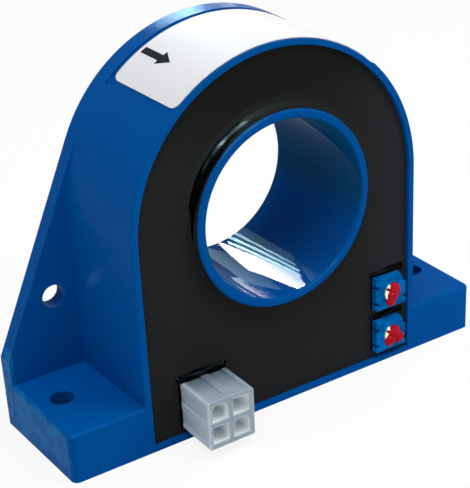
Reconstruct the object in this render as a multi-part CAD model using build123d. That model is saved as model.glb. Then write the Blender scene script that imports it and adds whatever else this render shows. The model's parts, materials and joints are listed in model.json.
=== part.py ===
from build123d import *
import math
import os

# Hall effect current sensor: a moulded case with a through bore, filled with resin.
# Millimetres. X runs along the base, -Y is the open front, +Z is up.
# The origin is the centre of the base's underside.

# Bore and collar
bore_radius = 16.0
collar_wall = 1.7
collar_proud = 1.4         # the collar stands this far in front of the rim
collar_edge = 0.35         # bevel at the collar's mouth

# Magnetic core round the collar
core_bore_gap = 0.8
core_thickness = 7.9
core_case_gap = 1.65
core_board_gap = 2.3       # behind the board
core_width = 11.0
core_back_gap = 2.4
core_split = 2.3           # the core's gap for the Hall element
space_under_core = 11.6    # from the underside to the core

# Case
rim_wall = 1.25
floor_wall = 1.0
back_wall = 2.0
arch_draft = 1.0           # the arch's radius grows by this from front to back
foot_length = 14.2         # from the arch to the end of the base
end_draft = 0.85           # each end of the base is this much shorter at the front
foot_height = 9.2
plate_thickness = 3.2
plate_end_height = 13.8    # the plate's upright end edge, below the slope
corner_round = 1.2         # the feet's upright corners
edge_round = 0.6
rim_round = 0.3

# Mounting holes
foot_hole_radius = 2.15
foot_hole_from_end = 5.5
plate_hole_radius = 2.15
plate_hole_from_end = 10.0
plate_hole_above_end = 10.0

# Label in its recess
recess_depth = 0.3
recess_half_angle = 44.0
recess_back_gap = 3.6
label_thickness = 0.15
label_glue = 0.05          # adhesive under the film
label_half_angle = 41.4
label_front_gap = 0.5
label_back_gap = 0.9
label_corner = 1.5

# Resin
resin_recess = 0.8
meniscus_width = 1.9       # the resin climbs the collar in a hollow curve
meniscus_rise = 1.9
meniscus_steps = 3         # straight bands that make up the curve

# Circuit board
board_front = 4.7          # board's front face behind the rim
board_thickness = 1.6
board_case_gap = 1.65
board_floor_gap = 0.9
board_top_drop = 13.0      # board's top below the bore axis
board_bore_gap = 1.3       # board cut-out's clearance round the collar
solder_end = 1.0           # pins and leads stand this far behind the board

# Hall element
hall_size = (1.55, 3.1, 4.2)
hall_lead_pitch = 1.27
hall_lead_side = 0.4
hall_lead_count = 3

# Connector
connector_inset = 6.05     # from the cavity's side
connector_floor_gap = 1.0
connector_width = 9.2
connector_height = 9.3
connector_proud = 8.1      # in front of the rim
socket_pitch = 4.2
socket_side = 3.35
socket_depth = 9.2
socket_corner = 1.3
shell_corner = 0.45
panel_depth = 0.28
panel_width = 2.9
panel_front_gap = 1.3
connector_pin_side = 1.1
connector_pin_recess = 3.4

# Trimmers
trimmer_inset = 1.15       # from the cavity's side
trimmer_floor_gap = 1.5
trimmer_spacing = 8.9
trimmer_width = 6.9
trimmer_height = 6.6
trimmer_proud = 0.6        # in front of the rim
trimmer_bevel_x = 1.4      # the cut corner at the upper right
trimmer_bevel_z = 2.3
notch_width = 0.75
notch_depth = 0.7
notch_length = 1.3
notch_offsets = (1.4, -2.0)
rotor_offset_x = 0.3
rotor_offset_z = -0.25
rotor_radius = 1.8
rotor_clearance = 0.05
rotor_proud = 0.2
rotor_seat = 2.4           # rotor's hole depth in the body
rotor_height = 1.6
slot_width = 0.6
slot_depth = 0.8
slot_turn = 35.0
element_thickness = 0.7
element_margin = 1.0
wiper_radius = 1.3
trimmer_pin_side = 0.5
trimmer_pin_pitch = 2.0
trimmer_pin_step = 1.6     # the middle pin is this far above the trimmer's middle, the others below
# Lacquer drops, each as its place by the rotor, foot radius and height
span_seal_drops = [(0.4, 0.3, 1.25, 0.5), (0.1, -0.7, 1.4, 0.55), (-0.3, -1.7, 1.15, 0.45)]
offset_seal_drops = [(-0.45, -1.05, 1.35, 0.5), (0.45, -0.05, 1.4, 0.55), (1.55, -1.25, 1.1, 0.45)]

# Small parts on the board's front, as width, height above the board, and depth along Z
amplifier_size = (4.9, 1.5, 3.9)
amplifier_place = (1.0, 8.6)
amplifier_pitch = 1.27
lead_width = 0.4
lead_foot = 0.75
lead_thickness = 0.2
regulator_size = (4.5, 1.5, 2.5)
regulator_places = [(-5.6, 13.6), (8.6, 13.6)]
tantalum_size = (3.5, 1.9, 2.8)
tantalum_places = [(-6.6, 5.0), (9.6, 5.0)]
diode_size = (2.7, 1.2, 1.6)
diode_places = [(-7.4, 9.4), (14.4, 9.4)]
chip_size = (2.0, 0.55, 1.25)
resistor_places = [(-1.8, 4.6), (1.2, 4.6), (4.2, 4.6), (3.2, 13.2), (14.4, 12.4), (14.4, 6.2)]
capacitor_places = [(6.4, 8.6), (-3.4, 8.6), (14.4, 15.6), (-10.0, 15.6)]

cut_margin = 2.0           # cutters run this far past what they cut

# Derived places
collar_radius = bore_radius + collar_wall
core_inner_radius = collar_radius + core_bore_gap
core_outer_radius = core_inner_radius + core_thickness
cavity_radius = core_outer_radius + core_case_gap
arch_radius_front = cavity_radius + rim_wall
arch_radius_back = arch_radius_front + arch_draft
bore_height = core_outer_radius + space_under_core
core_front = board_front + board_thickness + core_board_gap
depth = core_front + core_width + core_back_gap + back_wall
base_length = 2 * (arch_radius_back + foot_length)
end = base_length / 2
y_front = -depth / 2
y_back = depth / 2
cavity_back = y_back - back_wall
resin_face = y_front + resin_recess
board_face = y_front + board_front
board_back = board_face + board_thickness
board_half_width = cavity_radius - board_case_gap
connector_face = y_front - connector_proud
connector_x = -(cavity_radius - connector_inset - connector_width / 2)
connector_bottom = floor_wall + connector_floor_gap
connector_z = connector_bottom + connector_height / 2
trimmer_face = y_front - trimmer_proud
trimmer_x = cavity_radius - trimmer_inset - trimmer_width / 2
offset_trimmer_z = floor_wall + trimmer_floor_gap + trimmer_height / 2
span_trimmer_z = offset_trimmer_z + trimmer_spacing
draft_rate = arch_draft / depth

os.makedirs("parts", exist_ok=True)


def save(shape, name):
    """Write one node's STEP file."""
    shape.label = name
    export_step(shape, f"parts/{name}.step")


def block(x_range, y_range, z_range):
    """A box between the given limits."""
    size = [high - low for low, high in (x_range, y_range, z_range)]
    centre = [(high + low) / 2 for low, high in (x_range, y_range, z_range)]
    return Pos(*centre) * Box(*size)


def centred_block(centre, size):
    """A box of the given size about a point."""
    return Pos(*centre) * Box(*size)


def y_rod(x, z, radius, y_low, y_high):
    """A round rod along Y."""
    rod = Cylinder(radius, y_high - y_low, rotation=(90, 0, 0))
    return Pos(x, (y_low + y_high) / 2, z) * rod


def arch_solid(radius_back, radius_front, y_low, y_high, bottom):
    """The arch's outline as a solid, from its back radius to its front radius."""
    if radius_back == radius_front:
        crown = y_rod(0, bore_height, radius_back, y_low, y_high)
    else:
        crown = Cone(radius_back, radius_front, y_high - y_low, rotation=(90, 0, 0))
        crown = Pos(0, (y_low + y_high) / 2, bore_height) * crown
    crown &= block((-2 * radius_back, 2 * radius_back), (y_low, y_high), (bore_height, 3 * bore_height))
    plan = Polyline(
        (-radius_back, y_high), (radius_back, y_high), (radius_front, y_low), (-radius_front, y_low), close=True
    )
    sides = Pos(0, 0, bottom) * extrude(make_face(plan), bore_height - bottom)
    return crown + sides


def arch_radius_at(y):
    """The drafted arch's outer radius at a given Y."""
    return arch_radius_front + draft_rate * (y - y_front)


def arch_band(inset, outset, y_low, y_high, half_angle):
    """A piece of the band over the arch, between two offsets from its outer surface."""
    corners = [
        (arch_radius_at(y_low) + inset, y_low),
        (arch_radius_at(y_high) + inset, y_high),
        (arch_radius_at(y_high) + outset, y_high),
        (arch_radius_at(y_low) + outset, y_low),
    ]
    profile = Plane.XY * make_face(Polyline(*corners, close=True))
    axis = Axis((0, 0, 0), (0, 1, 0))
    band = revolve(profile, axis, 2 * half_angle)
    middle = math.degrees(math.atan2(-band.center().Z, band.center().X))
    return Pos(0, 0, bore_height) * (Rot(0, -90 - middle, 0) * band)


# Case: tapered arch, drafted base, back plate with its slopes
arch = arch_solid(arch_radius_back, arch_radius_front, y_front, y_back, 0)
front_rim = [
    e for e in arch.faces().sort_by(Axis.Y)[0].edges() if e.center().Z > foot_height
]
arch = fillet(front_rim, rim_round)

base_outline = Polyline(
    (-end, y_back), (end, y_back), (end - end_draft, y_front), (-end + end_draft, y_front), close=True
)
base = extrude(make_face(base_outline), foot_height)
plan_limits = extrude(make_face(base_outline), 2 * bore_height)
upright = [e for e in base.edges().filter_by(Axis.Z) if e.center().Y < 0]
base = fillet(upright, corner_round)
base = fillet(base.faces().sort_by(Axis.Z)[-1].edges(), edge_round)

end_distance = math.hypot(end, bore_height - plate_end_height)
end_angle = math.atan2(plate_end_height - bore_height, -end)
touch_angle = end_angle - math.acos(arch_radius_back / end_distance)
touch_x = -abs(arch_radius_back * math.cos(touch_angle))
touch_z = bore_height + abs(arch_radius_back * math.sin(touch_angle))
plate_outline = Polyline(
    (-end, 0), (end, 0), (end, plate_end_height), (-touch_x, touch_z),
    (touch_x, touch_z), (-end, plate_end_height), close=True
)
plate_plane = Plane(origin=(0, y_back, 0), x_dir=(1, 0, 0), z_dir=(0, -1, 0))
plate = extrude(plate_plane * make_face(plate_outline), plate_thickness) & plan_limits

case_body = base + plate + arch

cavity = arch_solid(cavity_radius, cavity_radius, y_front, cavity_back, floor_wall)
collar = y_rod(0, bore_height, collar_radius, y_front - collar_proud, y_back)
collar = chamfer(collar.edges().sort_by(Axis.Y)[0], collar_edge)
bore = y_rod(0, bore_height, bore_radius, y_front - collar_proud - cut_margin, y_back + cut_margin)

housing = case_body - cavity + collar - bore
bore_mouth = [
    e for e in housing.edges().filter_by(GeomType.CIRCLE)
    if abs(e.radius - bore_radius) < 0.001 and e.center().Y < y_front
]
housing = chamfer(bore_mouth, collar_edge)

recess = arch_band(
    -recess_depth, cut_margin, y_front - cut_margin, y_back - recess_back_gap, recess_half_angle
)
housing -= recess

foot_holes = []
plate_holes = []
for side in (-1, 1):
    foot_x = side * (end - foot_hole_from_end)
    foot_hole = Cylinder(foot_hole_radius, foot_height + 2 * cut_margin)
    foot_holes.append(Pos(foot_x, 0, foot_height / 2) * foot_hole)
    plate_x = side * (end - plate_hole_from_end)
    plate_hole_z = plate_end_height + plate_hole_above_end
    plate_holes.append(y_rod(plate_x, plate_hole_z, plate_hole_radius, 0, y_back + cut_margin))
for hole in foot_holes + plate_holes:
    housing -= hole
save(housing, "housing")

# Label on the recess floor, with round corners
label_low = y_front + label_front_gap
label_high = y_back - recess_back_gap - label_back_gap
label_bottom = label_glue - recess_depth
label = arch_band(
    label_bottom, label_bottom + label_thickness, label_low, label_high, label_half_angle
)
arc_radius = arch_radius_at(0)
corner_angle = label_half_angle - math.degrees(label_corner / arc_radius)
for side in (-1, 1):
    for y_edge, inward in ((label_low, 1), (label_high, -1)):
        square = Pos(side * label_corner, -inward * label_corner, 0) * Box(
            2 * label_corner, 2 * label_corner, 2 * cut_margin
        )
        square -= Cylinder(label_corner, 4 * cut_margin)
        square = Pos(0, y_edge + inward * label_corner, arc_radius) * square
        label -= Pos(0, 0, bore_height) * (Rot(0, side * corner_angle, 0) * square)
save(label, "rating_label")

# Magnetic core: a ring with its gap at the bottom
core_low = y_front + core_front
core = y_rod(0, bore_height, core_outer_radius, core_low, core_low + core_width)
core_ends = (core_low - cut_margin, core_low + core_width + cut_margin)
core -= y_rod(0, bore_height, core_inner_radius, *core_ends)
core -= block((-core_split / 2, core_split / 2), core_ends, (0, bore_height))
save(core, "magnetic_core")

# Hall element in the core's gap, its leads running forward to the board
hall_z = bore_height - (core_inner_radius + core_outer_radius) / 2
hall_y = core_low + core_width / 2
hall = centred_block((0, hall_y, hall_z), hall_size)
save(hall, "hall_element")
lead_back = hall_y - hall_size[1] / 2
lead_front = board_face - solder_end
hall_leads = []
for index in range(hall_lead_count):
    z = hall_z + (index - (hall_lead_count - 1) / 2) * hall_lead_pitch
    hall_leads.append(centred_block(
        (0, (lead_back + lead_front) / 2, z), (hall_lead_side, lead_back - lead_front, hall_lead_side)
    ))
save(Compound(hall_leads), "hall_element_leads")

# Connector shell: keyed sockets in front, shallow panels on its sides
shell = block(
    (connector_x - connector_width / 2, connector_x + connector_width / 2),
    (connector_face, board_face),
    (connector_bottom, connector_bottom + connector_height),
)
shell = fillet(shell.edges().filter_by(Axis.Y), shell_corner)
connector_envelope = shell
pins = []
for column in (-1, 1):
    for row in (-1, 1):
        x = connector_x + column * socket_pitch / 2
        z = connector_z + row * socket_pitch / 2
        socket = centred_block(
            (x, connector_face + socket_depth / 2, z), (socket_side, socket_depth, socket_side)
        )
        if column != row:
            keyed = [e for e in socket.edges().filter_by(Axis.Y) if e.center().Z > z]
            socket = fillet(keyed, socket_corner)
        shell -= socket
        pin_low = connector_face + connector_pin_recess
        pin_high = board_back + solder_end
        pins.append(centred_block(
            (x, (pin_low + pin_high) / 2, z), (connector_pin_side, pin_high - pin_low, connector_pin_side)
        ))
panels = []
panel_low = connector_face + panel_front_gap
for offset in (-1, 1):
    across = offset * socket_pitch / 2
    for side in (-1, 1):
        panels.append(centred_block(
            (connector_x + across, (panel_low + resin_face) / 2, connector_z + side * connector_height / 2),
            (panel_width, resin_face - panel_low, 2 * panel_depth),
        ))
        panels.append(centred_block(
            (connector_x + side * connector_width / 2, (panel_low + resin_face) / 2, connector_z + across),
            (2 * panel_depth, resin_face - panel_low, panel_width),
        ))
for piece in panels + pins:
    shell -= piece
save(shell, "connector_shell")
save(Compound(pins), "connector_pins")


def make_trimmer(z, name, drops):
    """One trimmer as separate pieces. Returns its outer envelope and its pins."""
    left, right = trimmer_x - trimmer_width / 2, trimmer_x + trimmer_width / 2
    low, high = z - trimmer_height / 2, z + trimmer_height / 2
    outline = Polyline(
        (left, -low), (right, -low), (right, -high + trimmer_bevel_z),
        (right - trimmer_bevel_x, -high), (left, -high), close=True
    )
    face_plane = Plane(origin=(0, trimmer_face, 0), x_dir=(1, 0, 0), z_dir=(0, 1, 0))
    body = extrude(face_plane * make_face(outline), board_face - trimmer_face)
    for notch_x in (left, right):
        for notch_offset in notch_offsets:
            body -= centred_block(
                (notch_x, trimmer_face, z + notch_offset),
                (2 * notch_depth, 2 * notch_length, notch_width),
            )
    envelope = body
    rotor_x = trimmer_x + rotor_offset_x
    rotor_z = z + rotor_offset_z
    rotor_hole_radius = rotor_radius + rotor_clearance
    body -= y_rod(rotor_x, rotor_z, rotor_hole_radius, trimmer_face - cut_margin, trimmer_face + rotor_seat)
    element = block(
        (left + element_margin, right - element_margin),
        (board_face - element_thickness, board_face),
        (low + element_margin, high - element_margin),
    )
    wiper = y_rod(
        rotor_x, rotor_z, wiper_radius, trimmer_face + rotor_height - rotor_proud, board_face - element_thickness
    )
    trimmer_pins = []
    for index in (-1, 0, 1):
        pin_x = trimmer_x + index * trimmer_pin_pitch
        pin_z = z + trimmer_pin_step if index == 0 else z - trimmer_pin_step
        trimmer_pins.append(block(
            (pin_x - trimmer_pin_side / 2, pin_x + trimmer_pin_side / 2),
            (board_face - element_thickness / 2, board_back + solder_end),
            (pin_z - trimmer_pin_side / 2, pin_z + trimmer_pin_side / 2),
        ))
    for pin in trimmer_pins:
        element -= pin
    rotor = y_rod(
        rotor_x, rotor_z, rotor_radius, trimmer_face - rotor_proud, trimmer_face + rotor_height - rotor_proud
    )
    rotor_top = trimmer_face - rotor_proud
    slot = Box(2 * rotor_radius + cut_margin, 2 * slot_depth, slot_width)
    rotor -= Pos(rotor_x, rotor_top, rotor_z) * (Rot(0, slot_turn, 0) * slot)
    body = body - element - wiper
    for pin in trimmer_pins:
        body -= pin
    lacquer = None
    for x_shift, z_shift, foot_radius, height in drops:
        drop_x, drop_z = rotor_x + x_shift, rotor_z + z_shift
        ball_radius = (foot_radius ** 2 + height ** 2) / (2 * height)
        ball = Pos(drop_x, rotor_top - height + ball_radius, drop_z) * Sphere(ball_radius)
        ball &= y_rod(drop_x, drop_z, foot_radius, rotor_top - cut_margin, trimmer_face)
        lacquer = ball if lacquer is None else lacquer + ball
    lacquer -= y_rod(rotor_x, rotor_z, rotor_hole_radius, rotor_top, trimmer_face + cut_margin)
    save(body, f"{name}_body")
    save(rotor, f"{name}_rotor")
    save(wiper, f"{name}_wiper")
    save(element, f"{name}_element")
    save(Compound(trimmer_pins), f"{name}_pins")
    save(lacquer, f"{name}_seal")
    return envelope, trimmer_pins


span_envelope, span_pins = make_trimmer(span_trimmer_z, "span_trimmer", span_seal_drops)
offset_envelope, offset_pins = make_trimmer(offset_trimmer_z, "offset_trimmer", offset_seal_drops)


def on_board(place, size):
    """A box standing on the board's front face."""
    x, z = place
    return centred_block((x, board_face - size[1] / 2, z), size)


amplifier = on_board(amplifier_place, amplifier_size)
save(amplifier, "amplifier_chip")
amplifier_leads = []
for side in (-1, 1):
    for index in range(4):
        x = amplifier_place[0] + (index - 1.5) * amplifier_pitch
        inner = amplifier_place[1] + side * amplifier_size[2] / 2
        outer = inner + side * lead_foot
        foot = block(
            (x - lead_width / 2, x + lead_width / 2), (board_face - lead_thickness, board_face),
            (min(inner, outer), max(inner, outer)),
        )
        knee = inner + side * lead_thickness
        riser = block(
            (x - lead_width / 2, x + lead_width / 2), (board_face - amplifier_size[1] / 2, board_face),
            (min(inner, knee), max(inner, knee)),
        )
        amplifier_leads.append(foot + riser)
save(Compound(amplifier_leads), "amplifier_leads")

regulators = [on_board(place, regulator_size) for place in regulator_places]
tantalums = [on_board(place, tantalum_size) for place in tantalum_places]
diodes = [on_board(place, diode_size) for place in diode_places]
resistors = [on_board(place, chip_size) for place in resistor_places]
capacitors = [on_board(place, (chip_size[0], 2 * chip_size[1], chip_size[2])) for place in capacitor_places]
save(Compound(regulators), "voltage_regulators")
save(Compound(tantalums), "tantalum_capacitors")
save(Compound(diodes), "supply_diodes")
save(Compound(resistors), "chip_resistors")
save(Compound(capacitors), "chip_capacitors")

# Circuit board, cut to the pins soldered through it
board = block(
    (-board_half_width, board_half_width),
    (board_face, board_back),
    (floor_wall + board_floor_gap, bore_height - board_top_drop),
)
board -= y_rod(
    0, bore_height, collar_radius + board_bore_gap, board_face - cut_margin, board_back + cut_margin
)
through_pins = pins + span_pins + offset_pins + hall_leads
for piece in through_pins:
    board -= piece
save(board, "circuit_board")

# Resin: the cavity's fill, cut to everything set in it
resin = arch_solid(cavity_radius, cavity_radius, resin_face, cavity_back, floor_wall)
climb = [(collar_radius, resin_face)]
for step in range(meniscus_steps + 1):
    turn = math.radians(90 * step / meniscus_steps)
    climb.append((
        collar_radius + meniscus_width * (1 - math.cos(turn)),
        resin_face - meniscus_rise * (1 - math.sin(turn)),
    ))
climb_plane = Plane(origin=(0, 0, bore_height), x_dir=(1, 0, 0), z_dir=(0, 0, 1))
climb_face = climb_plane * make_face(Polyline(*climb, close=True))
resin += revolve(climb_face, Axis((0, 0, bore_height), (0, 1, 0)), 360)
resin -= y_rod(0, bore_height, collar_radius, y_front - collar_proud, y_back)
set_in = [core, hall, connector_envelope, span_envelope, offset_envelope, board, amplifier]
set_in += hall_leads + pins + span_pins + offset_pins + amplifier_leads
set_in += regulators + tantalums + diodes + resistors + capacitors
for piece in set_in:
    resin -= piece
save(resin, "potting_resin")
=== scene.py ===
import json
import math

import bmesh
import bpy
from mathutils import Matrix, Vector, noise


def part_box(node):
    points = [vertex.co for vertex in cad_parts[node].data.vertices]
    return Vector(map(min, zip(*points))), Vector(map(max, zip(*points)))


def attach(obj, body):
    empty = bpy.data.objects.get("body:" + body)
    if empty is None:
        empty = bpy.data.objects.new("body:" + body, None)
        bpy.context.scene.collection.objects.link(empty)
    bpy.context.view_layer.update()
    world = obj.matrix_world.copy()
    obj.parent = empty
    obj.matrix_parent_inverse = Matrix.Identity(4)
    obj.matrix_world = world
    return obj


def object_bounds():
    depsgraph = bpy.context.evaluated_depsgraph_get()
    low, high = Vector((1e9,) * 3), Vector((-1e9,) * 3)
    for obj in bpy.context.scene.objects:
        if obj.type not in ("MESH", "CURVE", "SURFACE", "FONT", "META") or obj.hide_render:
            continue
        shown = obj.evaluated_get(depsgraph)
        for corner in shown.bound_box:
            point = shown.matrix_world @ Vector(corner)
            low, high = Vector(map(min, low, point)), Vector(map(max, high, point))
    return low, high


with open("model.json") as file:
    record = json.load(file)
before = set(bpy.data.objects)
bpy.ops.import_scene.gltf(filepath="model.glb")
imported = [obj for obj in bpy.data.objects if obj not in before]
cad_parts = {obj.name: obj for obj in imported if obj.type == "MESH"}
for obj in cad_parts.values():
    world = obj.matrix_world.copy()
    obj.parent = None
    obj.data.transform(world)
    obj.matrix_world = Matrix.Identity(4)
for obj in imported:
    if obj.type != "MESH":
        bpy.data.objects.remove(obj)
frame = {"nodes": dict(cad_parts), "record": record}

# A resin filled hall effect current sensor on a pale floor, seen as in the photograph.
# Metres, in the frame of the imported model: X along the base, -Y the resin face, +Z up.

MM = 0.001
CAD_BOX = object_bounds()
NODES = frame["nodes"]
MOUNTS = {mount["name"]: mount for mount in frame["record"]["mounts"]}

BORE_CENTRE = Vector(MOUNTS["bore"]["pos_m"])
BORE_RADIUS = MOUNTS["bore"]["dims"]["r_mm"] * MM
COLLAR_WALL = 1.7 * MM
COLLAR_RADIUS = BORE_RADIUS + COLLAR_WALL

CAMERA_PLACE = Vector((-0.11359, -0.17750, 0.12664))
CAMERA_TARGET = Vector((-0.00229, 0.0, 0.02743))
CAMERA_ROLL = math.radians(-3.05)
CAMERA_SENSOR = 36.0
CAMERA_LENS = 95.25
CAMERA_CLIP = 0.01


# Node helpers

BEVEL_SAMPLES = 4
WEAR_STARTS = 0.995        # how nearly the rounded normal agrees with the plain one where wear starts
WEAR_FULL = 0.80           # and where it is full


class Shader:
    """A small builder for one procedural material."""

    def __init__(self, name):
        self.material = bpy.data.materials.new(name)
        self.material.use_nodes = True
        self.tree = self.material.node_tree
        self.tree.nodes.clear()
        self.output = self.node("ShaderNodeOutputMaterial")
        self.place = self.node("ShaderNodeTexCoord").outputs["Object"]

    def node(self, kind, **settings):
        made = self.tree.nodes.new(kind)
        for key, value in settings.items():
            setattr(made, key, value)
        return made

    def link(self, source, target):
        """Joins a socket, or sets a plain value."""
        if isinstance(source, bpy.types.NodeSocket):
            self.tree.links.new(source, target)
        elif isinstance(source, (tuple, list)) and target.type == "RGBA" and len(source) == 3:
            target.default_value = (*source, 1.0)
        else:
            target.default_value = source

    def math(self, operation, *values):
        made = self.node("ShaderNodeMath", operation=operation)
        for index, value in enumerate(values):
            self.link(value, made.inputs[index])
        return made.outputs[0]

    def noise(self, scale, detail=3.0, roughness=0.55, vector=None, distortion=0.0):
        """A cloud from 0 to 1 in the part's own space. The scale is in turns for each metre."""
        made = self.node("ShaderNodeTexNoise")
        self.link(vector or self.place, made.inputs["Vector"])
        self.link(scale, made.inputs["Scale"])
        self.link(detail, made.inputs["Detail"])
        self.link(roughness, made.inputs["Roughness"])
        self.link(distortion, made.inputs["Distortion"])
        return made.outputs["Fac"]

    def remap(self, value, low, high, to_low=0.0, to_high=1.0):
        """Carries the range from low to high smoothly over to another, and stays level outside it."""
        made = self.node("ShaderNodeMapRange", interpolation_type="SMOOTHSTEP")
        self.link(value, made.inputs["Value"])
        for name, number in (("From Min", low), ("From Max", high), ("To Min", to_low), ("To Max", to_high)):
            self.link(number, made.inputs[name])
        return made.outputs["Result"]

    def mix(self, factor, first, second):
        """Blends two colours."""
        made = self.node("ShaderNodeMix", data_type="RGBA")
        self.link(factor, made.inputs["Factor"])
        self.link(first, made.inputs[6])
        self.link(second, made.inputs[7])
        return made.outputs[2]

    def axis(self, letter):
        """One of the place's coordinates."""
        split = self.node("ShaderNodeSeparateXYZ")
        self.link(self.place, split.inputs[0])
        return split.outputs[letter]

    def stretched(self, x, y, z):
        """The place with its axes scaled, for scuffs, streaks and drawn grain."""
        made = self.node("ShaderNodeVectorMath", operation="MULTIPLY")
        self.link(self.place, made.inputs[0])
        made.inputs[1].default_value = (x, y, z)
        return made.outputs[0]

    def distance_from_bore(self):
        """How far a point lies from the bore's axis."""
        x = self.axis("X")
        z = self.math("SUBTRACT", self.axis("Z"), BORE_CENTRE.z)
        squares = self.math("ADD", self.math("MULTIPLY", x, x), self.math("MULTIPLY", z, z))
        return self.math("SQRT", squares)

    def edge_wear(self, radius, most):
        """Is 0 on flat faces, and rises to the given most on sharp edges."""
        bevel = self.node("ShaderNodeBevel", samples=BEVEL_SAMPLES)
        bevel.inputs["Radius"].default_value = radius
        geometry = self.node("ShaderNodeNewGeometry")
        dot = self.node("ShaderNodeVectorMath", operation="DOT_PRODUCT")
        self.link(bevel.outputs[0], dot.inputs[0])
        self.link(geometry.outputs["Normal"], dot.inputs[1])
        return self.remap(dot.outputs["Value"], WEAR_STARTS, WEAR_FULL, 0.0, most)

    def bump(self, height, distance, strength, after=None):
        """Raises the surface by a height, on top of the bump it comes after."""
        made = self.node("ShaderNodeBump")
        made.inputs["Strength"].default_value = strength
        made.inputs["Distance"].default_value = distance
        self.link(height, made.inputs["Height"])
        if after is not None:
            self.link(after, made.inputs["Normal"])
        return made.outputs["Normal"]

    def principled(self, **values):
        """The one surface shader. Keys are its socket names with _ for spaces."""
        made = self.node("ShaderNodeBsdfPrincipled")
        for key, value in values.items():
            self.link(value, made.inputs[key.replace("_", " ")])
        self.tree.links.new(made.outputs[0], self.output.inputs["Surface"])
        return self.material


# Materials. Gloss shows the white room, so the specular levels are low, and the highlights come from small
# bright lamps further down.

BLUE_SHEEN = (0.3, 0.8, 1.0)
TARNISH_SHADE = 0.55       # how dark tarnish is beside a metal's darker colour
WORN_SHADE = 1.6           # how pale a small part's worn edges are beside its lighter colour
WORN_LIFT = 0.02


def case_plastic():
    """Blue moulded thermoplastic: satin, faintly wavy, edges rubbed paler, ends paler with a painted sheen,
    bore polished and darker high up with painted shade."""
    s = Shader("case_plastic")
    cloud = s.noise(55.0, 4.0)
    colour = s.mix(cloud, (0.0, 0.071, 0.300), (0.0, 0.088, 0.348))
    scuffs = s.noise(900.0, 6.0, 0.7, vector=s.stretched(0.35, 1.0, 1.0))
    rubbed = s.remap(scuffs, 0.64, 0.76, 0.0, 0.14)
    colour = s.mix(rubbed, colour, (0.003, 0.16, 0.45))
    colour = s.mix(s.edge_wear(0.35 * MM, 0.12), colour, (0.002, 0.18, 0.50))
    low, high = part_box("housing")
    # Painted sheen: the end faces turn paler in mottled patches, standing in for light glancing off them.
    painted_end_sheen = s.remap(s.noise(380.0, 6.0, 0.7), 0.40, 0.62, 0.10, 0.60)
    on_end = s.remap(s.math("ABSOLUTE", s.axis("X")), high.x - 1.1 * MM, high.x - 0.5 * MM)
    colour = s.mix(s.math("MULTIPLY", painted_end_sheen, on_end), colour, (0.013, 0.21, 0.48))
    satin = s.remap(s.noise(240.0, 5.0), 0.3, 0.7, 0.24, 0.34)
    polish = s.remap(s.noise(400.0, 4.0, vector=s.stretched(1.0, 0.1, 1.0)), 0.3, 0.7, 0.02, 0.05)
    outside = s.remap(s.distance_from_bore(), BORE_RADIUS + 0.05 * MM, BORE_RADIUS + 0.40 * MM)
    in_bore = s.math("SUBTRACT", 1.0, outside)
    # Painted shade: inside the bore the wall turns darker and more teal high up, where less light reaches.
    high_up = s.remap(s.axis("Z"), 30.0 * MM, 37.0 * MM, 0.0, 0.8)
    colour = s.mix(s.math("MULTIPLY", high_up, in_bore), colour, (0.0, 0.068, 0.155))
    rough = s.math("ADD", s.math("MULTIPLY", satin, outside), s.math("MULTIPLY", polish, in_bore))
    grain = s.math("MULTIPLY", s.noise(5200.0, 2.0), outside)
    normal = s.bump(grain, 0.010 * MM, 0.5)
    waves = s.math("MULTIPLY", s.noise(90.0, 2.0), s.remap(outside, 0.0, 1.0, 0.06, 1.0))
    normal = s.bump(waves, 0.08 * MM, 0.5, after=normal)
    return s.principled(
        Base_Color=colour, Roughness=rough, Normal=normal,
        Specular_IOR_Level=0.01, Specular_Tint=BLUE_SHEEN,
    )


def potting_resin():
    """Matt black cast resin: dust and shallow ripples, darker at the top, and greyer at the right as painted
    light from that side.
    """
    s = Shader("potting_resin")
    patches = s.noise(75.0, 5.0, 0.6)
    colour = s.mix(patches, (0.0124, 0.0121, 0.0124), (0.0192, 0.0187, 0.0188))
    high_up = s.remap(s.axis("Z"), 46.0 * MM, 62.0 * MM, 0.0, 0.65)
    colour = s.mix(high_up, colour, (0.0060, 0.0068, 0.0035))
    # Painted light: the resin turns greyer towards the right, as if lit more strongly from that side.
    painted_light_right = s.remap(s.axis("X"), 12.0 * MM, 29.0 * MM, 0.0, 0.60)
    colour = s.mix(painted_light_right, colour, (0.0245, 0.0240, 0.0300))
    dust = s.remap(s.noise(1600.0, 4.0, 0.75), 0.66, 0.78, 0.0, 0.22)
    colour = s.mix(dust, colour, (0.046, 0.045, 0.044))
    rough = s.remap(s.noise(330.0, 5.0, 0.65), 0.3, 0.7, 0.50, 0.64)
    normal = s.bump(s.noise(2600.0, 3.0), 0.020 * MM, 0.5)
    normal = s.bump(s.noise(120.0, 3.0), 0.16 * MM, 0.5, after=normal)
    return s.principled(Base_Color=colour, Roughness=rough, Specular_IOR_Level=0.01, Normal=normal)


def wet_resin():
    """The same resin where it climbs the pieces: smooth, glossy and darker."""
    s = Shader("wet_resin")
    cloud = s.noise(260.0, 4.0)
    colour = s.mix(cloud, (0.0004, 0.0004, 0.0005), (0.0012, 0.0012, 0.0013))
    normal = s.bump(s.noise(420.0, 3.0), 0.05 * MM, 0.6)
    rough = s.remap(cloud, 0.3, 0.7, 0.14, 0.24)
    return s.principled(Base_Color=colour, Roughness=rough, Specular_IOR_Level=0.006, Normal=normal)


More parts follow.
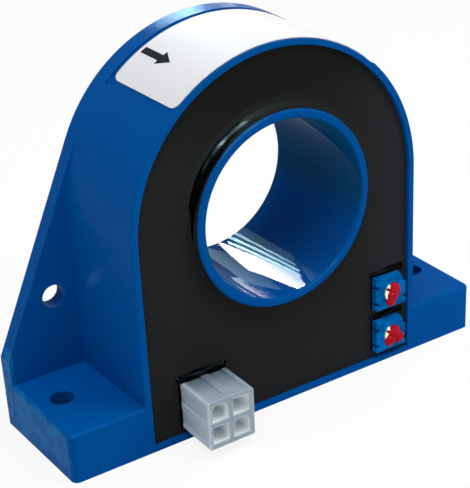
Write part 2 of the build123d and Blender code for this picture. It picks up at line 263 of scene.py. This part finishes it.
def label_film():
    """White printed film: satin, with painted shade that greys it towards its ends, and a little grime."""
    s = Shader("label_film")
    # Painted shade: the label greys and cools towards its left end, and turns greyish beige towards its right
    # end, where it curves away from the light.
    painted_shade_left_end = s.remap(s.axis("X"), -21.0 * MM, -4.0 * MM)
    colour = s.mix(painted_shade_left_end, (0.79, 0.80, 0.83), (0.84, 0.84, 0.85))
    painted_shade_right_end = s.remap(s.axis("X"), 4.0 * MM, 22.0 * MM, 0.0, 0.8)
    colour = s.mix(painted_shade_right_end, colour, (0.66, 0.65, 0.63))
    grime = s.remap(s.noise(420.0, 5.0, 0.7), 0.60, 0.75, 0.0, 0.10)
    colour = s.mix(grime, colour, (0.70, 0.70, 0.72))
    rough = s.remap(s.noise(300.0, 4.0), 0.3, 0.7, 0.42, 0.52)
    normal = s.bump(s.noise(2400.0, 2.0), 0.006 * MM, 0.5)
    normal = s.bump(s.noise(150.0, 2.0), 0.03 * MM, 0.5, after=normal)
    return s.principled(Base_Color=colour, Roughness=rough, Specular_IOR_Level=0.006, Normal=normal)


def printed_ink():
    """Dark screen printed ink."""
    s = Shader("printed_ink")
    cloud = s.noise(2400.0, 4.0, 0.7)
    colour = s.mix(cloud, (0.006, 0.006, 0.009), (0.014, 0.014, 0.018))
    rough = s.remap(cloud, 0.3, 0.7, 0.40, 0.54)
    normal = s.bump(cloud, 0.004 * MM, 0.5)
    return s.principled(Base_Color=colour, Roughness=rough, Specular_IOR_Level=0.01, Normal=normal)


def inside_box(s, low, high, inset):
    """Is 1 deeper than the inset from the sides of an upright box, looking along Y, and 0 outside."""
    inside = 1.0
    for letter, index in (("X", 0), ("Z", 2)):
        half = (high[index] - low[index]) / 2
        off = s.math("ABSOLUTE", s.math("SUBTRACT", s.axis(letter), (low[index] + high[index]) / 2))
        inside = s.math("MULTIPLY", inside, s.remap(off, half - inset, half - 1.3 * inset))
    return inside


def connector_nylon():
    """Natural nylon: milky and bluish, paler at the left and in its sockets with painted light, and darker
    where it meets the resin with painted shade.
    """
    s = Shader("connector_nylon")
    low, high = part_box("connector_shell")
    cloud = s.noise(330.0, 4.0, distortion=0.4)
    colour = s.mix(cloud, (0.270, 0.325, 0.380), (0.335, 0.395, 0.450))
    colour = s.mix(s.edge_wear(0.45 * MM, 0.55), colour, (0.44, 0.52, 0.58))
    # Painted shade: the nylon darkens towards the resin, strongly on the top face and faintly elsewhere.
    painted_shade_near_resin = s.remap(s.axis("Y"), low.y + 2.0 * MM, low.y + 8.5 * MM)
    on_top = s.remap(s.axis("Z"), high.z - 0.9 * MM, high.z - 0.3 * MM, 0.15, 0.80)
    colour = s.mix(s.math("MULTIPLY", painted_shade_near_resin, on_top), colour, (0.060, 0.085, 0.120))
    # Painted light: the connector's left side is paler, as if lit more strongly from that side.
    painted_light_left_side = s.remap(s.axis("X"), low.x + 0.8 * MM, low.x + 0.2 * MM, 0.0, 0.75)
    colour = s.mix(painted_light_left_side, colour, (0.52, 0.58, 0.66))
    # Painted light: the inside of the sockets is nearly white, standing in for light shining through the nylon.
    behind_face = s.remap(s.axis("Y"), low.y + 0.05 * MM, low.y + 0.4 * MM)
    painted_light_in_socket = s.math("MULTIPLY", inside_box(s, low, high, 0.4 * MM), behind_face)
    colour = s.mix(painted_light_in_socket, colour, (0.86, 0.90, 0.95))
    rough = s.remap(s.noise(700.0, 4.0), 0.3, 0.7, 0.42, 0.54)
    normal = s.bump(s.noise(4200.0, 2.0), 0.008 * MM, 0.5)
    normal = s.bump(s.noise(330.0, 2.0), 0.05 * MM, 0.5, after=normal)
    return s.principled(
        Base_Color=colour, Roughness=rough, Specular_IOR_Level=0.06, Normal=normal,
        Subsurface_Weight=0.8, Subsurface_Radius=(0.9, 1.0, 1.1), Subsurface_Scale=1.6 * MM,
    )


def trimmer_plastic():
    """Lighter blue glossy moulding of the trimmer bodies."""
    s = Shader("trimmer_plastic")
    cloud = s.noise(520.0, 4.0)
    colour = s.mix(s.remap(cloud, 0.35, 0.65), (0.0, 0.085, 0.30), (0.0, 0.150, 0.50))
    colour = s.mix(s.edge_wear(0.2 * MM, 0.40), colour, (0.005, 0.25, 0.58))
    rough = s.remap(s.noise(900.0, 4.0), 0.3, 0.7, 0.24, 0.36)
    normal = s.bump(s.noise(5200.0, 2.0), 0.008 * MM, 0.5)
    return s.principled(
        Base_Color=colour, Roughness=rough, Normal=normal,
        Specular_IOR_Level=0.008, Specular_Tint=BLUE_SHEEN,
    )


def seal_lacquer():
    """Glossy crimson lacquer drop."""
    s = Shader("seal_lacquer")
    cloud = s.noise(800.0, 3.0)
    colour = s.mix(cloud, (0.36, 0.006, 0.016), (0.50, 0.010, 0.028))
    rough = s.remap(cloud, 0.3, 0.7, 0.10, 0.20)
    normal = s.bump(s.noise(900.0, 2.0), 0.09 * MM, 0.6)
    return s.principled(
        Base_Color=colour, Roughness=rough, Normal=normal,
        Specular_IOR_Level=0.02, Specular_Tint=(1.0, 0.6, 0.6),
    )


def metal(name, dark, light, rough_low, rough_high, streaks=(1.0, 1.0, 1.0)):
    """Plated or stamped metal with fine drawn lines."""
    s = Shader(name)
    lines = s.noise(2600.0, 5.0, 0.7, vector=s.stretched(*streaks))
    colour = s.mix(lines, dark, light)
    tarnish = s.remap(s.noise(420.0, 4.0), 0.55, 0.75, 0.0, 0.45)
    colour = s.mix(tarnish, colour, tuple(channel * TARNISH_SHADE for channel in dark))
    rough = s.remap(lines, 0.3, 0.7, rough_low, rough_high)
    normal = s.bump(lines, 0.006 * MM, 0.5)
    return s.principled(Base_Color=colour, Metallic=1.0, Roughness=rough, Normal=normal)


def trimmer_brass():
    """Stamped brass, with a film of the lacquer run over its right side."""
    s = Shader("trimmer_brass")
    lines = s.noise(2600.0, 5.0, 0.7)
    colour = s.mix(lines, (0.44, 0.32, 0.16), (0.70, 0.58, 0.38))
    low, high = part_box("span_trimmer_rotor")
    middle = (low.x + high.x) / 2
    film = s.remap(s.axis("X"), middle - 0.80 * MM, middle - 0.55 * MM)
    colour = s.mix(film, colour, (0.40, 0.007, 0.020))
    bare = s.remap(film, 0.0, 1.0, 1.0, 0.0)
    rough = s.remap(lines, 0.3, 0.7, 0.34, 0.50)
    normal = s.bump(lines, 0.006 * MM, 0.5)
    return s.principled(
        Base_Color=colour, Metallic=bare, Roughness=rough, Specular_IOR_Level=0.02, Normal=normal
    )


def speckled(name, dark, light, rough_low, rough_high, scale=1400.0):
    """Moulded or fired small parts with fine colour variation."""
    s = Shader(name)
    cloud = s.noise(scale, 5.0, 0.65)
    colour = s.mix(cloud, dark, light)
    worn = tuple(min(1.0, channel * WORN_SHADE + WORN_LIFT) for channel in light)
    colour = s.mix(s.edge_wear(0.15 * MM, 0.3), colour, worn)
    rough = s.remap(cloud, 0.3, 0.7, rough_low, rough_high)
    normal = s.bump(s.noise(scale * 3.0, 2.0), 0.010 * MM, 0.5)
    return s.principled(Base_Color=colour, Roughness=rough, Normal=normal)


MATERIALS = {
    "case_plastic": case_plastic(),
    "potting_resin": potting_resin(),
    "label_film": label_film(),
    "connector_nylon": connector_nylon(),
    "trimmer_plastic": trimmer_plastic(),
    "seal_lacquer": seal_lacquer(),
    "core_steel": metal("core_steel", (0.30, 0.30, 0.31), (0.46, 0.46, 0.47), 0.30, 0.50, (1.0, 0.05, 1.0)),
    "tinned_metal": metal("tinned_metal", (0.50, 0.50, 0.49), (0.70, 0.70, 0.68), 0.25, 0.45),
    "tinned_brass": metal("tinned_brass", (0.52, 0.48, 0.40), (0.72, 0.68, 0.58), 0.22, 0.40, (1.0, 0.2, 1.0)),
    "trimmer_brass": trimmer_brass(),
    "chip_epoxy": speckled("chip_epoxy", (0.018, 0.018, 0.021), (0.040, 0.040, 0.045), 0.45, 0.65),
    "board_laminate": speckled("board_laminate", (0.012, 0.10, 0.045), (0.030, 0.19, 0.080), 0.30, 0.45, 500.0),
    "substrate_ceramic": speckled("substrate_ceramic", (0.70, 0.70, 0.66), (0.84, 0.84, 0.80), 0.50, 0.70),
    "tantalum_epoxy": speckled("tantalum_epoxy", (0.62, 0.38, 0.06), (0.80, 0.54, 0.12), 0.40, 0.60),
    "resistor_glaze": speckled("resistor_glaze", (0.012, 0.012, 0.013), (0.030, 0.030, 0.032), 0.20, 0.35),
    "capacitor_ceramic": speckled("capacitor_ceramic", (0.40, 0.30, 0.19), (0.56, 0.45, 0.31), 0.45, 0.65),
}

for subpart in frame["record"]["subparts"]:
    for material_slot in NODES[subpart["node"]].material_slots:
        material_slot.material = MATERIALS[subpart["material_slot"]]


def add_object(name, mesh, material):
    """Makes an object of a bmesh and puts it in the scene."""
    data = bpy.data.meshes.new(name)
    mesh.to_mesh(data)
    mesh.free()
    data.materials.append(material)
    made = bpy.data.objects.new(name, data)
    bpy.context.scene.collection.objects.link(made)
    return made


# The direction arrow printed on the label

ARROW_ANGLE = math.radians(28.0)     # from the top of the arch towards the left
ARROW_TAIL = 6.7 * MM
ARROW_TIP = -1.7 * MM
ARROW_HEAD_LENGTH = 3.0 * MM
ARROW_HEAD_WIDTH = 3.1 * MM
ARROW_SHAFT_WIDTH = 1.4 * MM
ARROW_POINT_WIDTH = 0.05 * MM
INK_LIFT = 0.02 * MM
ARC_STEPS = 6
AT_THE_EDGE = 0.01 * MM    # a vertex this near a box's side is counted as on it


def label_radius(y):
    """The label's outer radius about the bore's axis at a given Y."""
    low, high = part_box("rating_label")
    places = [v.co for v in NODES["rating_label"].data.vertices]
    front = [p for p in places if p.y < low.y + AT_THE_EDGE]
    back = [p for p in places if p.y > high.y - AT_THE_EDGE]
    radius_front = max(math.hypot(p.x, p.z - BORE_CENTRE.z) for p in front)
    radius_back = max(math.hypot(p.x, p.z - BORE_CENTRE.z) for p in back)
    share = (y - low.y) / (high.y - low.y)
    return radius_front + share * (radius_back - radius_front)


def on_label(across, y):
    """The point on the label at a distance across from the arrow's middle line."""
    radius = label_radius(y) + INK_LIFT
    angle = ARROW_ANGLE - across / radius
    return Vector((-radius * math.sin(angle), y, BORE_CENTRE.z + radius * math.cos(angle)))


def printed_arrow():
    """A plain arrow, as a thin sheet that follows the label's curve."""
    mesh = bmesh.new()
    neck = ARROW_TIP + ARROW_HEAD_LENGTH
    shaft = [(ARROW_TAIL, ARROW_SHAFT_WIDTH), (neck, ARROW_SHAFT_WIDTH)]
    halfway = (neck + ARROW_TIP) / 2
    head = [(neck, ARROW_HEAD_WIDTH), (halfway, ARROW_HEAD_WIDTH / 2), (ARROW_TIP, ARROW_POINT_WIDTH)]
    for stations in (shaft, head):
        previous = None
        for y, width in stations:
            line = [
                mesh.verts.new(on_label(width * (step / ARC_STEPS - 0.5), y)) for step in range(ARC_STEPS + 1)
            ]
            if previous:
                for step in range(ARC_STEPS):
                    mesh.faces.new((previous[step], previous[step + 1], line[step + 1], line[step]))
            previous = line
    bmesh.ops.recalc_face_normals(mesh, faces=mesh.faces)
    arrow = add_object("direction_arrow", mesh, printed_ink())
    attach(arrow, "root")


printed_arrow()


# Wet resin where it climbs the collar, the connector and the trimmers

WET_STEPS = 10
WET_SINK = 0.05 * MM       # the sheet's edges lie this far inside the resin and the piece
WET_STRAIGHT = 0.7         # how nearly straight the sheet's slope is: 0 is a round hollow, 1 a plain slope
RISE_WAVE = 4.0 * MM       # the length of the waves in its height, and in its width
SPREAD_WAVE = 5.0 * MM
CORNER_WAVE = 0.3          # how much its height waves on as it turns a corner
SPREAD_LAYER = 30.0 * MM   # keeps the waves in its width apart from those in its height
CIRCLE_STEPS = 240
CORNER_STEPS = 6
SQUARE_SPACING = 0.35 * MM
RESIN_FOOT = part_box("potting_resin")[0].z + 0.5 * MM
RESIN_FACE = min(v.co.y for v in NODES["potting_resin"].data.vertices if v.co.z < RESIN_FOOT)


def circle_path(centre, radius, count):
    """Points on a circle in the XZ plane, each with its outward direction."""
    path = []
    for index in range(count):
        angle = 2 * math.pi * index / count
        out = Vector((math.cos(angle), 0, math.sin(angle)))
        path.append((Vector((centre.x, 0, centre.z)) + radius * out, out))
    return path


def square_path(low, high, spacing):
    """Points round an upright rectangle, each with its outward direction, fanned at the corners."""
    path = []
    corners = [(low.x, low.z), (high.x, low.z), (high.x, high.z), (low.x, high.z)]
    for index, (x, z) in enumerate(corners):
        heading = -math.pi / 2 + index * math.pi / 2
        for turn in range(CORNER_STEPS + 1):
            angle = heading - math.pi / 2 + turn * math.pi / (2 * CORNER_STEPS)
            path.append((Vector((x, 0, z)), Vector((math.cos(angle), 0, math.sin(angle)))))
        next_x, next_z = corners[(index + 1) % len(corners)]
        run = math.hypot(next_x - x, next_z - z)
        out = Vector((math.cos(heading), 0, math.sin(heading)))
        for step in range(1, int(run / spacing)):
            share = step * spacing / run
            path.append((Vector((x + share * (next_x - x), 0, z + share * (next_z - z))), out))
    return path


def wet_edge(name, path, rise, spread, wobble, least, lean):
    """A glossy hollow fillet of resin between the face and the wall that the path follows. It rises and spreads
    in full towards the lean, and only the least share of it is left on the far side. The wobble is the share
    by which its size waves."""
    mesh = bmesh.new()
    rings = []
    for point, out in path:
        rise_wave = noise.noise(Vector((point.x, point.z, 0.0)) / RISE_WAVE + out * CORNER_WAVE)
        spread_wave = noise.noise(Vector((point.z, point.x, SPREAD_LAYER)) / SPREAD_WAVE)
        left = least + (1.0 - least) * max(0.0, out.dot(lean))
        high = left * rise * (1.0 + wobble * rise_wave)
        wide = left * spread * (1.0 + wobble * spread_wave)
        ring = []
        for step in range(WET_STEPS + 1):
            share = step / WET_STEPS
            turn = math.pi / 2 * share
            outward = (1 - WET_STRAIGHT) * (1 - math.cos(turn)) + WET_STRAIGHT * share
            upward = (1 - WET_STRAIGHT) * (1 - math.sin(turn)) + WET_STRAIGHT * (1 - share)
            reach = wide * outward - WET_SINK * math.cos(turn)
            climb = high * upward - WET_SINK * math.sin(turn)
            place = point + out * reach
            place.y = RESIN_FACE - climb
            ring.append(mesh.verts.new(place))
        rings.append(ring)
    for index, ring in enumerate(rings):
        following = rings[(index + 1) % len(rings)]
        for step in range(WET_STEPS):
            mesh.faces.new((ring[step], ring[step + 1], following[step + 1], following[step]))
    bmesh.ops.recalc_face_normals(mesh, faces=mesh.faces)
    edge = add_object(name, mesh, WET_RESIN)
    edge.data.polygons.foreach_set("use_smooth", [True] * len(edge.data.polygons))
    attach(edge, "root")


WET_RESIN = wet_resin()
wet_edge(
    "collar_wet_edge", circle_path(BORE_CENTRE, COLLAR_RADIUS, CIRCLE_STEPS), rise=1.85 * MM, spread=1.45 * MM,
    wobble=0.10, least=0.30, lean=Vector((-0.80, 0.0, 0.60)),
)
for node, node_rise, node_spread in (
    ("connector_shell", 0.60 * MM, 1.6 * MM),
    ("span_trimmer_body", 0.45 * MM, 1.3 * MM),
    ("offset_trimmer_body", 0.45 * MM, 1.3 * MM),
):
    wet_edge(
        f"{node}_wet_edge", square_path(*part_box(node), SQUARE_SPACING), rise=node_rise, spread=node_spread,
        wobble=0.30, least=0.15, lean=Vector((-0.25, 0.0, 0.97)),
    )


# Floor, lights and camera

FLOOR_HALF = 3.0
FLOOR_COLOUR = (0.86, 0.86, 0.86, 1.0)
FLOOR_GLOW = 0.86          # the share of the floor that shows as plain white
PLAIN_WHITE = (1.0, 1.0, 1.0, 1.0)
WORLD_LEVEL = 0.25         # how strongly the room lights the object, where 1 is how it looks

# The lamps that light the object: place, size and power in watts. All face the same point.
LAMP_TARGET = (0.0, 0.0, 0.03)
LAMPS = {
    "overhead": ((0.0, -0.12, 0.75), (0.9, 0.6), 4.5),
    "right": ((0.29, -0.235, 0.24), (0.26, 0.21), 0.60),
    "left": ((-0.70, -0.15, 0.35), (0.5, 0.4), 0.5),
    "back": ((0.20, 1.60, 0.28), (1.2, 0.6), 10.0),
}

# Small bright panels close behind the bore, which its polished wall shows as bands: across, up, width, height
# in millimetres, brightness and colour
WHITE = (1.0, 1.0, 1.0)
COOL = (0.60, 0.94, 1.0)
PANEL_DEPTH = 50.0 * MM
PANEL_SPREAD = math.radians(64.0)
BORE_FLOOR = Vector((3.0, -2.0, 22.5)) * MM
PANELS = {
    "main_panel": (27.0, 63.0, 13.5, 25.0, 260.0, WHITE),
    "streak_panel_1": (18.3, 64.0, 2.0, 21.0, 300.0, COOL),
    "streak_panel_2": (14.5, 64.0, 2.2, 20.0, 230.0, COOL),
    "streak_panel_3": (10.6, 64.0, 1.6, 17.0, 190.0, COOL),
    "pale_panel": (11.0, 64.0, 15.0, 16.0, 26.0, COOL),
    "low_panel": (36.0, 46.0, 19.0, 22.0, 10.0, COOL),
    "third_panel": (46.0, 28.0, 8.0, 16.0, 14.0, COOL),
}

# Small lamps above the camera and to both sides of it, which the wet resin's edges show as highlights: compass
# angle, height angle, brightness. The first nine follow the collar, the last two are for the square pieces.
SPARK_DISTANCE = 0.80
SPARK_SIZE = (0.11, 0.11)
SPARKS = [
    (-124.0, 34.0, 90.0), (-132.0, 48.0, 160.0), (-139.0, 55.0, 1300.0), (-155.0, 64.0, 200.0),
    (-179.0, 69.0, 1500.0), (155.0, 69.0, 220.0), (132.0, 66.0, 30.0), (119.0, 61.0, 20.0), (110.0, 55.0, 10.0),
    (151.0, 4.0, 80.0), (176.0, 0.0, 400.0),
]

# A small panel that shows as a highlight on the strip behind the label
STRIP_PANEL = (0.0136, 0.0510, 0.0880)
STRIP_TARGET = (-0.0050, 0.0095, 0.0678)
STRIP_SIZE = (0.020, 0.012)
STRIP_BRIGHTNESS = 80.0
STRIP_SPREAD = math.radians(60.0)

# A faint narrow beam that comes through the plate's left hole and falls on the arch's side
BEAM_PLACE = (-0.0517, 0.0410, 0.0070)
BEAM_TARGET = (-0.0302, 0.0030, 0.0280)
BEAM_SIZE = (0.001, 0.001)
BEAM_POWER = 4e-7
BEAM_SPREAD = math.radians(6.0)
BEAM_COLOUR = (0.30, 0.85, 1.0)


def white_for_the_eye(tree):
    """A factor that is 1 for camera, glossy and transmission rays."""
    path = tree.nodes.new("ShaderNodeLightPath")
    either = path.outputs["Is Camera Ray"]
    for name in ("Is Glossy Ray", "Is Transmission Ray"):
        larger = tree.nodes.new("ShaderNodeMath")
        larger.operation = "MAXIMUM"
        tree.links.new(either, larger.inputs[0])
        tree.links.new(path.outputs[name], larger.inputs[1])
        either = larger.outputs[0]
    return either


def floor_material():
    """Mostly plain white to the eye, and a pale matt surface besides, which takes the shadow."""
    material = bpy.data.materials.new("studio_floor")
    material.use_nodes = True
    tree = material.node_tree
    tree.nodes.clear()
    diffuse = tree.nodes.new("ShaderNodeBsdfDiffuse")
    diffuse.inputs["Color"].default_value = FLOOR_COLOUR
    glow = tree.nodes.new("ShaderNodeEmission")
    glow.inputs["Color"].default_value = PLAIN_WHITE
    share = tree.nodes.new("ShaderNodeMath")
    share.operation = "MULTIPLY"
    tree.links.new(white_for_the_eye(tree), share.inputs[0])
    share.inputs[1].default_value = FLOOR_GLOW
    mix = tree.nodes.new("ShaderNodeMixShader")
    output = tree.nodes.new("ShaderNodeOutputMaterial")
    tree.links.new(share.outputs[0], mix.inputs[0])
    tree.links.new(diffuse.outputs[0], mix.inputs[1])
    tree.links.new(glow.outputs[0], mix.inputs[2])
    tree.links.new(mix.outputs[0], output.inputs["Surface"])
    return material


def make_floor():
    """A wide white floor at the object's foot."""
    mesh = bmesh.new()
    corners = [(-1, -1), (1, -1), (1, 1), (-1, 1)]
    mesh.faces.new([mesh.verts.new((x * FLOOR_HALF, y * FLOOR_HALF, CAD_BOX[0].z)) for x, y in corners])
    floor = add_object("studio_floor", mesh, floor_material())


def make_world():
    """A room that shows as white and lights the object at its own level."""
    world = bpy.data.worlds.new("studio")
    bpy.context.scene.world = world
    world.use_nodes = True
    tree = world.node_tree
    tree.nodes.clear()
    seen = white_for_the_eye(tree)
    strength = tree.nodes.new("ShaderNodeMapRange")
    tree.links.new(seen, strength.inputs["Value"])
    strength.inputs["To Min"].default_value = WORLD_LEVEL
    strength.inputs["To Max"].default_value = 1.0
    background = tree.nodes.new("ShaderNodeBackground")
    background.inputs["Color"].default_value = PLAIN_WHITE
    tree.links.new(strength.outputs[0], background.inputs["Strength"])
    output = tree.nodes.new("ShaderNodeOutputWorld")
    tree.links.new(background.outputs[0], output.inputs["Surface"])


def area_light(name, place, target, size, power):
    """A rectangular lamp that faces the target."""
    data = bpy.data.lights.new(name, "AREA")
    data.shape = "RECTANGLE"
    data.size, data.size_y = size
    data.energy = power
    lamp = bpy.data.objects.new(name, data)
    lamp.location = place
    lamp.rotation_euler = (Vector(target) - Vector(place)).to_track_quat("-Z", "Y").to_euler()
    bpy.context.scene.collection.objects.link(lamp)
    return lamp


def gloss_lamp(name, place, target, size, brightness, spread=math.pi, colour=COOL):
    """A lamp that is seen only in gloss, with a given brightness along its axis. A small spread narrows it."""
    half = spread / 2
    narrowed = 1.0 if spread >= math.pi else (math.tan(half) - half) / math.tan(half)
    lamp = area_light(name, place, target, size, brightness * narrowed * math.pi * size[0] * size[1])
    lamp.data.color = colour
    lamp.data.spread = spread
    lamp.visible_diffuse = False
    lamp.visible_camera = False


def direction(azimuth, elevation):
    """A unit vector at a compass angle from +Y towards +X and at a height angle, both in degrees."""
    turn, lift = math.radians(azimuth), math.radians(elevation)
    return Vector((math.sin(turn) * math.cos(lift), math.cos(turn) * math.cos(lift), math.sin(lift)))


def make_camera():
    """The camera that was fitted to the photograph."""
    data = bpy.data.cameras.new("camera")
    data.sensor_fit = "VERTICAL"
    data.sensor_width = CAMERA_SENSOR
    data.sensor_height = CAMERA_SENSOR
    data.lens = CAMERA_LENS
    data.clip_start = CAMERA_CLIP
    camera = bpy.data.objects.new("camera", data)
    camera.location = CAMERA_PLACE
    aim = (CAMERA_TARGET - CAMERA_PLACE).to_track_quat("-Z", "Y").to_matrix().to_4x4()
    camera.rotation_euler = (aim @ Matrix.Rotation(CAMERA_ROLL, 4, "Z")).to_euler()
    bpy.context.scene.collection.objects.link(camera)
    bpy.context.scene.camera = camera


make_floor()
make_world()
for lamp_name, (lamp_place, lamp_size, lamp_power) in LAMPS.items():
    area_light(lamp_name, lamp_place, LAMP_TARGET, lamp_size, lamp_power)
for panel, (across, up, width, height, brightness, colour) in PANELS.items():
    panel_place = Vector((across * MM, PANEL_DEPTH, up * MM))
    gloss_lamp(panel, panel_place, BORE_FLOOR, (width * MM, height * MM), brightness, PANEL_SPREAD, colour)
for number, (azimuth, elevation, brightness) in enumerate(SPARKS):
    spark_place = BORE_CENTRE + SPARK_DISTANCE * direction(azimuth, elevation)
    gloss_lamp(f"spark_{number}", spark_place, BORE_CENTRE, SPARK_SIZE, brightness)
gloss_lamp("strip_panel", STRIP_PANEL, STRIP_TARGET, STRIP_SIZE, STRIP_BRIGHTNESS, STRIP_SPREAD)
beam = area_light("beam", BEAM_PLACE, BEAM_TARGET, BEAM_SIZE, BEAM_POWER)
beam.data.spread = BEAM_SPREAD
beam.data.color = BEAM_COLOUR
make_camera()

bpy.context.scene.view_settings.view_transform = "Standard"
